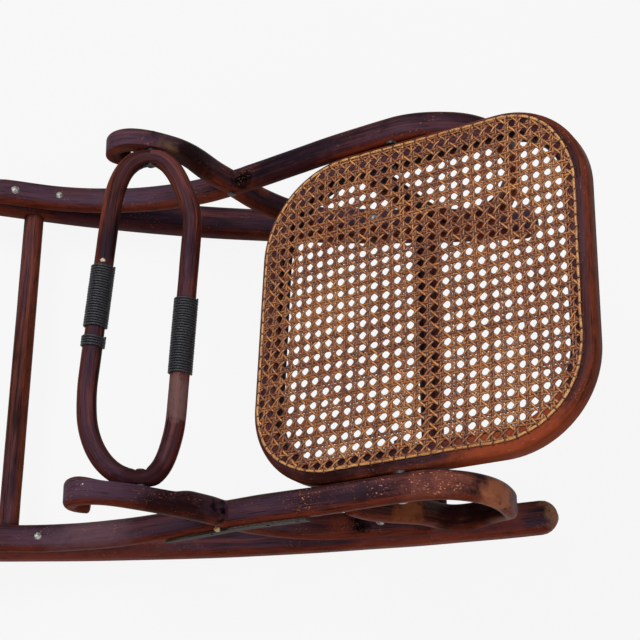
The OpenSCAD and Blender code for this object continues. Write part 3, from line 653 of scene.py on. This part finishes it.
def winding(name, bar, y, turns, seed):
    bm = bmesh.new()
    place = [bar[0][k] + (bar[1][k] - bar[0][k]) * (y - bar[0][1]) / (bar[1][1] - bar[0][1]) for k in (0, 1)]
    r = ring["d"] / 2 + ring["cord"] / 2 + 0.1
    start = bmesh.ops.create_circle(bm, cap_ends=True, segments=8, radius=ring["cord"] / 2 * mm,
                                    matrix=Matrix.Translation((r * mm, -turns * ring["pitch"] / 2 * mm, 0)))
    steps = turns * 20
    geom = start["verts"] + list(bm.edges) + list(bm.faces)
    bmesh.ops.spin(bm, geom=geom, cent=(0, 0, 0), axis=(0, 1, 0), angle=-2 * math.pi * turns, steps=steps,
                   dvec=(0, ring["pitch"] * turns / steps * mm, 0), use_duplicate=False)
    turned = Matrix.Translation((place[0] * mm, place[1] * mm, 0)) @ Matrix.Rotation(
        math.radians(barDir(bar) - 90), 4, "Z")
    for v in bm.verts:
        shift = noise.noise(Vector((math.atan2(v.co.z, v.co.x) * 1.2, v.co.y / mm / 3, seed)))
        v.co.y += ring["slack"] * mm * shift
        v.co += ring["swell"] * mm * shift * Vector((v.co.x, 0, v.co.z)).normalized()
    bmesh.ops.transform(bm, matrix=ringPlace @ turned, verts=bm.verts)
    bmesh.ops.recalc_face_normals(bm, faces=bm.faces)
    return finished(name, bm)


for name, bar, key, node in (("frontBarCord", "front", "frontWind", "front_bar_winding"),
                             ("rearBarCord", "rear", "rearWind", "rear_bar_winding"),
                             ("shortCord", "rear", "shortWind", "short_winding")):
    y, turns = ring[key]
    dressed(winding(name, ring[bar], y, turns, y), blackCord, "ring", "black_cord", node)
print("ring made")


# Panel: drawn flat round its tilting axis, in millimetres along the slope and across, then placed
panel = {
    "tiltZ": 217.204, "slope": 30.5, "half": 166.5, "low": -155, "high": 197, "rim": 24, "thick": 22, "rise": 6,
    "radii": {"highLeft": 85, "lowLeft": 100, "lowRight": 80, "highRight": 95}, "round": 5,
    "highFall": 4, "lowFall": 9,
}
panelPlace = Matrix.Translation((stool["tiltX"] * mm, 0, panel["tiltZ"] * mm)) @ Matrix.Rotation(
    math.radians(-panel["slope"]), 4, "Y")
radii = panel["radii"]
corners = [(panel["high"] - radii["highLeft"], panel["half"] - radii["highLeft"], radii["highLeft"]),
           (panel["low"] + radii["lowLeft"] + panel["lowFall"], panel["half"] - radii["lowLeft"], radii["lowLeft"]),
           (panel["low"] + radii["lowRight"], radii["lowRight"] - panel["half"], radii["lowRight"]),
           (panel["high"] - radii["highRight"] - panel["highFall"], radii["highRight"] - panel["half"],
            radii["highRight"])]


# Outward direction of the straight edge from corner i to the next, anticlockwise
def edgeDir(i):
    a, b = corners[i % 4], corners[(i + 1) % 4]
    du, dv = b[0] - a[0], b[1] - a[1]
    return math.degrees(math.atan2(dv, du) - math.acos((a[2] - b[2]) / math.hypot(du, dv)))


edgeDirs = [edgeDir(i) for i in range(4)]


# A row of (along, across, outward direction, length so far) round the panel's rim
def outlineRow(gap=6.0):
    row = []
    total = 0.0
    for i, (u, v, r) in enumerate(corners):
        start, sweep = edgeDirs[i - 1], (edgeDirs[i] - edgeDirs[i - 1]) % 360
        turns = math.ceil(math.radians(sweep) * r / gap)
        row += [(u + r * cos(start + sweep * k / turns), v + r * sin(start + sweep * k / turns),
                 start + sweep * k / turns) for k in range(turns)]
        nu, nv, nr = corners[(i + 1) % 4]
        a = (u + r * cos(edgeDirs[i]), v + r * sin(edgeDirs[i]))
        b = (nu + nr * cos(edgeDirs[i]), nv + nr * sin(edgeDirs[i]))
        pieces = max(1, math.ceil(math.dist(a, b) / gap))
        row += [(a[0] + (b[0] - a[0]) * k / pieces, a[1] + (b[1] - a[1]) * k / pieces, edgeDirs[i])
                for k in range(pieces)]
    row.append(row[0])
    out = []
    for k, p in enumerate(row):
        if k:
            total += math.dist(p[:2], row[k - 1][:2])
        out.append((*p, total))
    return out


binder = {
    "in": 6.0, "shift": 6.0, "shiftDir": -45, "width": 3.0, "height": 1.2, "seat": 0.7, "sink": 0.5, "sway": 0.5,
    "swayRun": 20, "pinch": 0.25, "dip": 0.35, "tieWidth": 1.6, "tieThick": 0.4, "tieLean": 0.25,
    "tieArch": ((-2.6, -0.6), (-2, 0.6), (-0.8, 1.2), (0.8, 1.2), (2, 0.6), (2.6, -0.6)),
}


# How far in from the rim the binder lies: more along the high and the right edges
def binderIn(turn):
    return binder["in"] + binder["shift"] * ease((cos(turn - binder["shiftDir"]) + 0.45) / 0.9)


def insideBinder(u, v):
    for i, (cu, cv, r) in enumerate(corners):
        du, dv = u - cu, v - cv
        if du * cos(edgeDirs[i]) + dv * sin(edgeDirs[i]) > r - binderIn(edgeDirs[i]):
            return False
        angle = math.degrees(math.atan2(dv, du))
        turn = (angle - edgeDirs[i - 1]) % 360
        if turn < (edgeDirs[i] - edgeDirs[i - 1]) % 360 and math.hypot(du, dv) > r - binderIn(angle):
            return False
    return True


def panelFrame():
    rim, thick = panel["rim"], panel["thick"]
    points = roundedSection(rim, thick, panel["round"], 5)
    sections, local, along = [], [], []
    for u, v, turn, d in outlineRow():
        row = []
        for across, up in points:
            out = across - rim / 2
            row.append(panelPlace @ (Vector((u + out * cos(turn), v + out * sin(turn),
                                             up + panel["rise"] - thick / 2)) * mm))
        sections.append(row)
        local.append((points, (rim / 2, thick / 2)))
        along.append(d)
    return loft("panelFrameBent", sections, local, along, closed=True)


dressed(panelFrame(), panelWood, "panel", "bent_wood", "panel_frame")


# The weave by hand isn't quite square: it leans, fans out and bows a little. Strands of a pair stand pairGap
# apart, and cross over or under the others by shares of lift.
weave = {
    "pitch": 12.2, "middle": (30.1, -4.8), "along": (12.5, 0.11), "across": (0.09, 11.95),
    "bend": (-0.017, -0.031, -0.0256), "curl": (-0.0043, 0.0022, 0.0015, 0.002),
    "strand": 2.5, "strandTone": 0.38, "slant": 2.3, "slantTone": 0.6, "slantOver": 2.2, "pairGap": 2.65,
    "lift": 0.4, "height": 0.7, "thick": 0.45, "pairs": 18, "slants": 30, "crossings": 66, "probe": 0.5,
    "shortest": 8, "tuck": ((0, -1.8), (0.8, -0.6)), "clear": 1.2, "shift": 0.35, "toneSpread": 0.3,
    "widen": (0.86, 1.1), "sway": 0.45, "swayRun": 22,
}


# Place on the panel of a point in the weave's own square pattern
def woven(u, v):
    a, b = u / weave["pitch"], v / weave["pitch"]
    bend = sum(k * t for k, t in zip(weave["bend"], (a * a, a * b, b * b)))
    curl = sum(k * t for k, t in zip(weave["curl"], (a ** 3, a * a * b, a * b * b, b ** 3)))
    return (weave["middle"][0] + weave["along"][0] * a + weave["along"][1] * b + bend + curl,
            weave["middle"][1] + weave["across"][0] * a + weave["across"][1] * b)


# Where a strand enters and leaves the binder, in millimetres along it
def strandSpan(start, way):
    step = weave["probe"]
    inside = [k * step for k in range(-800, 800)
              if insideBinder(*woven(start[0] + way[0] * k * step, start[1] + way[1] * k * step))]
    return (min(inside), max(inside)) if inside else None


# Each strand as (start, direction, span, levels along it, width, tone)
def caneStrands():
    p, gap, tilted = weave["pitch"], weave["pairGap"] / 2, weave["slantOver"]
    lines = [(k + 0.5) * p for k in range(-weave["pairs"], weave["pairs"])]
    crossings = range(-weave["crossings"], weave["crossings"] + 1)
    root = math.sqrt(0.5)
    wanted = []
    for start, way, first in [((1, 0), (0, 1), 1), ((0, 1), (1, 0), -1)]:
        for line in lines:
            for a in (0, 1):
                place = line + (gap if a else -gap)
                marks = [(c + s * gap, first if (a + b) % 2 == 0 else -first)
                         for c in lines for b, s in ((0, -1), (1, 1))]
                marks += [(c + p / 2, 0) for c in lines]
                wanted.append(((start[0] * place, start[1] * place), way, marks, weave["strand"],
                               weave["strandTone"]))
    for k in range(-weave["slants"], weave["slants"] + 1):
        for slant in (1, -1):
            marks = [(i * p / 2 / root, slant * (tilted if i % 2 == 0 else -tilted)) for i in crossings]
            marks += [((i + 0.5) * p / 2 / root, 0) for i in crossings]
            wanted.append((((k + 0.5) * p, 0), (root, slant * root), marks, weave["slant"], weave["slantTone"]))
    strands = []
    for start, way, marks, width, tone in wanted:
        span = strandSpan(start, way)
        if span and span[1] - span[0] > weave["shortest"]:
            strands.append((start, way, span, sorted(marks), width, tone))
    return strands


# A mesh for thin strips of cane, with its layers in the order that addStrip takes
def stripMesh():
    bm = bmesh.new()
    layers = [bm.loops.layers.float_vector.new(name) for name in ("grain", "face")]
    return bm, layers + [bm.loops.layers.float.new("tone")]


# One strip along a row of (length, height). put gives a point's place in millimetres, its grain and its face
# from the length, the height and the side.
def addStrip(bm, layers, row, put, shade):
    grain, face, tone = layers
    fresh = bmesh.ops.create_grid(bm, x_segments=len(row) - 1, y_segments=1, size=0.5)["verts"]
    marks = {}
    for v in fresh:
        place, *marks[v] = put(*row[round((v.co.x + 0.5) * (len(row) - 1))], 1 if v.co.y > 0 else -1)
        v.co = Vector(place) * mm
    for f in {f for v in fresh for f in v.link_faces}:
        for lp in f.loops:
            lp[grain], lp[face] = marks[lp.vert]
            lp[tone] = shade


def stripPiece(name, bm, thick):
    bmesh.ops.recalc_face_normals(bm, faces=bm.faces)
    for f in bm.faces:
        if f.normal.z < 0:
            f.normal_flip()
    bmesh.ops.transform(bm, matrix=panelPlace, verts=bm.verts)
    piece = finished(name, bm)
    wall = piece.modifiers.new("stripThickness", "SOLIDIFY")
    wall.thickness = thick * mm
    wall.offset = -1
    return piece


def canePanel():
    bm, layers = stripMesh()
    top = panel["rise"] + weave["height"]
    clear, tuck = weave["clear"], weave["tuck"]
    random.seed(4)
    for number, (start, way, span, marks, width, level) in enumerate(caneStrands()):
        row = [(span[0] + out, high) for out, high in tuck]
        row += [m for m in marks if span[0] + clear < m[0] < span[1] - clear]
        row += [(span[1] - out, high) for out, high in reversed(tuck)]
        shift = random.uniform(-weave["shift"], weave["shift"])
        shade = level + random.uniform(-weave["toneSpread"], weave["toneSpread"])
        widen = random.uniform(*weave["widen"])

        def put(s, high, side):
            sway = weave["sway"] * noise.noise(Vector((s / weave["swayRun"], number * 3.1, 0)))
            off = shift + sway + side * width / 2 * widen
            u, v = woven(start[0] + way[0] * s - way[1] * off, start[1] + way[1] * s + way[0] * off)
            grain = (s * mm + number * 0.7, side * width / 2 * mm, 0)
            return (u, v, top + weave["lift"] * high), grain, (side, 0, 0)

        addStrip(bm, layers, row, put, shade)
    return stripPiece("caneWeave", bm, weave["thick"])


dressed(canePanel(), caneTan, "panel", "cane", "cane_panel")
print("cane woven")


def binderPiece():
    w, h = binder["width"], binder["height"]
    sections, local, along = [], [], []
    run = binder["swayRun"]
    row = outlineRow(2.0)
    ties = row[-1][3] / round(row[-1][3] / weave["pitch"])
    for u, v, turn, d in row:
        pinch = abs(cos(180 * d / ties)) ** 6
        sway = binder["sway"] * noise.noise(Vector((u / run, v / run, 3))) - binderIn(turn)
        points = [(w / 2 * (1 - binder["pinch"] * pinch) * cos(a),
                   h * max(0, sin(a)) - (binder["sink"] if sin(a) < -0.1 else 0)) for a in range(0, 360, 36)]
        low = panel["rise"] + binder["seat"] - binder["dip"] * pinch
        places = [(u + (x + sway) * cos(turn), v + (x + sway) * sin(turn), low + z) for x, z in points]
        sections.append([panelPlace @ (Vector(place) * mm) for place in places])
        local.append((points, (w / 2, h)))
        along.append(d)
    piece = loft("binderStrip", sections, local, along, closed=True)
    layer = piece.data.attributes.new("tone", "FLOAT", "CORNER")
    layer.data.foreach_set("value", [0.55] * len(layer.data))
    return piece


dressed(binderPiece(), binderTan, "panel", "binder", "binder_cane")


def binderTies():
    bm, layers = stripMesh()
    around = outlineRow(1.0)
    count = round(around[-1][3] / weave["pitch"])
    random.seed(9)
    for k in range(count):
        u, v, turn, _ = min(around, key=lambda p: abs(p[3] - k * around[-1][3] / count))
        lean = random.uniform(-binder["tieLean"], binder["tieLean"])
        shade = random.uniform(-0.5, 0)

        def put(out, high, side):
            x, y = out - binderIn(turn), binder["tieWidth"] / 2 * side + lean * out
            place = (u + x * cos(turn) - y * sin(turn), v + x * sin(turn) + y * cos(turn),
                     panel["rise"] + binder["seat"] + high)
            return place, (out * mm + k * 0.3, y * mm, 0), (0, 0, 0)

        addStrip(bm, layers, binder["tieArch"], put, shade)
    return stripPiece("binderTies", bm, binder["tieThick"])


dressed(binderTies(), caneTan, "panel", "binder")
print("panel made")

# Stretchers: each one's place along X, the runners' half distance, diameter, skew in degrees and noise seed
bars = {
    "rear": (stool["rearX"], stool["rearHalf"], 21, 0.75, 21.5),
    "front": (stool["frontX"], stool["frontHalf"], 24, 0, 23.5),
}


def stretcherBar(name, x, half, d, skew, seed):
    reach = half - stool["runnerW"] / 2 + 0.5
    height = soleZ(x) + stool["runnerH"] / 2 / cos(soleSlope(x))
    sections, local, along = [], [], []
    count = 60
    for k in range(count + 1):
        y = reach * (2 * k / count - 1)
        points = []
        for a in range(0, 360, 15):
            r = d / 2 - 0.1 + 0.25 * min(0, noise.noise(Vector((y / 40, a / 60, seed))))
            points.append((r * cos(a), r * sin(a)))
        sections.append([Vector((x + y * tan(skew) + px, y, height + pz)) * mm for px, pz in points])
        local.append((points, (d / 2, d / 2)))
        along.append(y + 1000 * seed)
    return loft(name, sections, local, along)


for label, bar in bars.items():
    dressed(stretcherBar(label + "Bar", *bar), turnedWood, "base", "turned_wood", label + "_stretcher")


# Bolts of the ring and the panel, with radii and lengths in millimetres
bolting = {
    "shank": 3.0, "washer": 7.0, "head": 5.2, "nub": 4.6, "under": 0.3, "dome": 1.5, "domeAt": 0.4, "rimAt": 0.9,
    "headEnd": 2, "tiltReach": 9,
}


# Spins a chain of (radius, outward place) points round an axis along Y, on the sides asked for
def spunFitting(name, place, chain, sides):
    bm = bmesh.new()
    for side in sides:
        row = [bm.verts.new((r * mm, side * y * mm, 0)) for r, y in chain]
        edges = [bm.edges.new(pair) for pair in zip(row, row[1:])]
        bmesh.ops.spin(bm, geom=row + edges, cent=(0, 0, 0), axis=(0, 1, 0), angle=2 * math.pi, steps=28,
                       use_merge=True)
    bmesh.ops.remove_doubles(bm, verts=bm.verts, dist=1e-6)
    bmesh.ops.transform(bm, matrix=place, verts=bm.verts)
    bmesh.ops.recalc_face_normals(bm, faces=bm.faces)
    return finished(name, bm)


# A flush head just under the rod's outer face, and the shank's tip as points from that tip's place
def boltChain(out, tip, points):
    head, shank = bolting["head"], bolting["shank"]
    top = [(0, "under"), (head - bolting["dome"], "domeAt"), (head, "rimAt"), (head, "headEnd"), (shank, "headEnd")]
    return [(r, out - bolting[key]) for r, key in top] + [(shank - less, tip + high) for less, high in points]


shank, nubR, washerR = (bolting[key] for key in ("shank", "nub", "washer"))
ringIn = ring["nutFlat"]
ringBolt = boltChain(stool["ringHalf"] + stool["rodW"] / 2, ringIn, ((0, 0.1), (1, -0.1), (shank, -0.2)))
washer = [(0, ring["houseY"] - 0.1), (washerR, ring["houseY"] - 0.1), (washerR, ring["outerFlat"] + 0.3),
          (0, ring["outerFlat"] + 0.3)]
nub = [(0, ringIn - 0.5), (shank, ringIn - 0.5), (nubR - 0.8, ringIn - 1.5), (nubR, ringIn - 1),
       (nubR, ringIn + 0.2), (0, ringIn + 0.2)]
for side, label in bothSides:
    bolt = spunFitting(label + "RingPin", ringPlace, ringBolt, [side])
    dressed(bolt, darkIron, "base", "dark_iron", label + "_ring_bolt")
tiltPlace = Matrix.Translation((stool["tiltX"] * mm, 0, panel["tiltZ"] * mm))
tiltIn = panel["half"] - panel["rim"] - bolting["tiltReach"]
tiltBolt = boltChain(stool["tiltHalf"] + stool["rodW"] / 2, tiltIn, ((0, 0.8), (0.8, 0), (shank, 0)))
for side, label in bothSides:
    bolt = spunFitting(label + "TiltPin", tiltPlace, tiltBolt, [side])
    dressed(bolt, steel, "base", "steel", label + "_tilt_bolt")
dressed(spunFitting("ringCollars", ringPlace, washer, [1, -1]), darkIron, "base", "dark_iron", "ring_washers")
dressed(spunFitting("ringNubs", ringPlace, nub, [1, -1]), darkIron, "base", "dark_iron", "ring_nuts")
print("bars and pins made")


# Drop of old glue at the near crossing: its place, half sizes and lumps
glueDrop = {"place": (-32.5, -192.2, 115.5), "half": (3.2, 2.4, 4.2), "lump": 0.35, "lumpScale": 1.7}


def glueBlob():
    bm = bmesh.new()
    bmesh.ops.create_icosphere(bm, subdivisions=3, radius=1)
    for v in bm.verts:
        lump = 1 + glueDrop["lump"] * noise.noise(v.co * glueDrop["lumpScale"])
        v.co = Vector([at + half * lump * c for at, half, c in zip(glueDrop["place"], glueDrop["half"], v.co)]) * mm
    bmesh.ops.recalc_face_normals(bm, faces=bm.faces)
    return finished("crossingGlue", bm)


dressed(glueBlob(), glue, "base", "bent_wood")

# Finishes on the pieces that stay as the CAD made them
finishes = {
    dowelWood: ("loop_dowels",),
    steel: ("foot_screws", "tail_screws"),
    darkIron: ("crossing_rivets", "tilt_washers", "tilt_nuts", "splint_screws"),
    greyStrip: ("mending_splint",),
}
for material, names in finishes.items():
    for name in names:
        cadNodes[name].data.materials.clear()
        cadNodes[name].data.materials.append(material)

# Floor, backdrop, lights and camera
studio = {
    "floor": 6.0, "shadowShare": 0.1, "floorTone": 0.3, "worldLevel": 0.22, "key": (57, 1.3, (-0.9, 0.9, 2.4)),
    "fill": (28, 2.0, (1.2, -1.4, 2.3)),
    "camera": (0.051, -0.5416, 1.528), "tilt": 21.7, "roll": -0.2, "focal": 1507, "centre": (303.9, 322.3),
}
bm = bmesh.new()
bmesh.ops.create_grid(bm, x_segments=2, y_segments=2, size=studio["floor"])
floor = finished("floor", bm, False)
material, add, shader, link = newFinish("paleFloor", Roughness=0.9, Specular_IOR_Level=0.0)
shader.inputs["Base Color"].default_value = (studio["floorTone"],) * 3 + (1,)
path = add("LightPath").outputs
seen = calc(add, "MAXIMUM", path["Is Camera Ray"], path["Is Glossy Ray"])
seen = calc(add, "MAXIMUM", seen, path["Is Transmission Ray"])
white = add("Emission", {"Color": (1, 1, 1, 1), "Strength": 1.0}).outputs[0]
share = times(add, seen, 1 - studio["shadowShare"])
mixed = add("MixShader", {0: share, 1: shader.outputs[0], 2: white})
link(mixed.outputs[0], material.node_tree.get_output_node("ALL").inputs["Surface"])
floor.data.materials.append(material)

world = bpy.data.worlds.new("studioWorld")
scene.world = world
add = nodeMaker(world)
path = add("LightPath").outputs
seen = calc(add, "MAXIMUM", path["Is Camera Ray"], path["Is Transmission Ray"])
plain, bright = (add("Background", {"Color": (1, 1, 1, 1), "Strength": level}).outputs[0]
                 for level in (studio["worldLevel"], 1))
add("OutputWorld", {"Surface": add("MixShader", {0: seen, 1: plain, 2: bright}).outputs[0]})

for name in ("key", "fill"):
    power, size, place = studio[name]
    lamp = bpy.data.lights.new(name + "Light", "AREA")
    lamp.energy, lamp.size = power, size
    light = bpy.data.objects.new(name + "Light", lamp)
    light.location = place
    light.rotation_euler = (Vector((0, 0, 0.1)) - Vector(place)).to_track_quat("-Z", "Y").to_euler()
    scene.collection.objects.link(light)

lens = bpy.data.cameras.new("photoCamera")
camera = bpy.data.objects.new("photoCamera", lens)
scene.collection.objects.link(camera)
lens.sensor_width = 36
lens.lens = studio["focal"] * 36 / 640
lens.shift_x = (320 - studio["centre"][0]) / 640
lens.shift_y = (studio["centre"][1] - 320) / 640
camera.location = studio["camera"]
camera.rotation_euler = (Matrix.Rotation(math.radians(studio["tilt"]), 3, "X")
                         @ Matrix.Rotation(math.radians(studio["roll"]), 3, "Z")).to_euler()
scene.camera = camera
scene.view_settings.view_transform = "Standard"
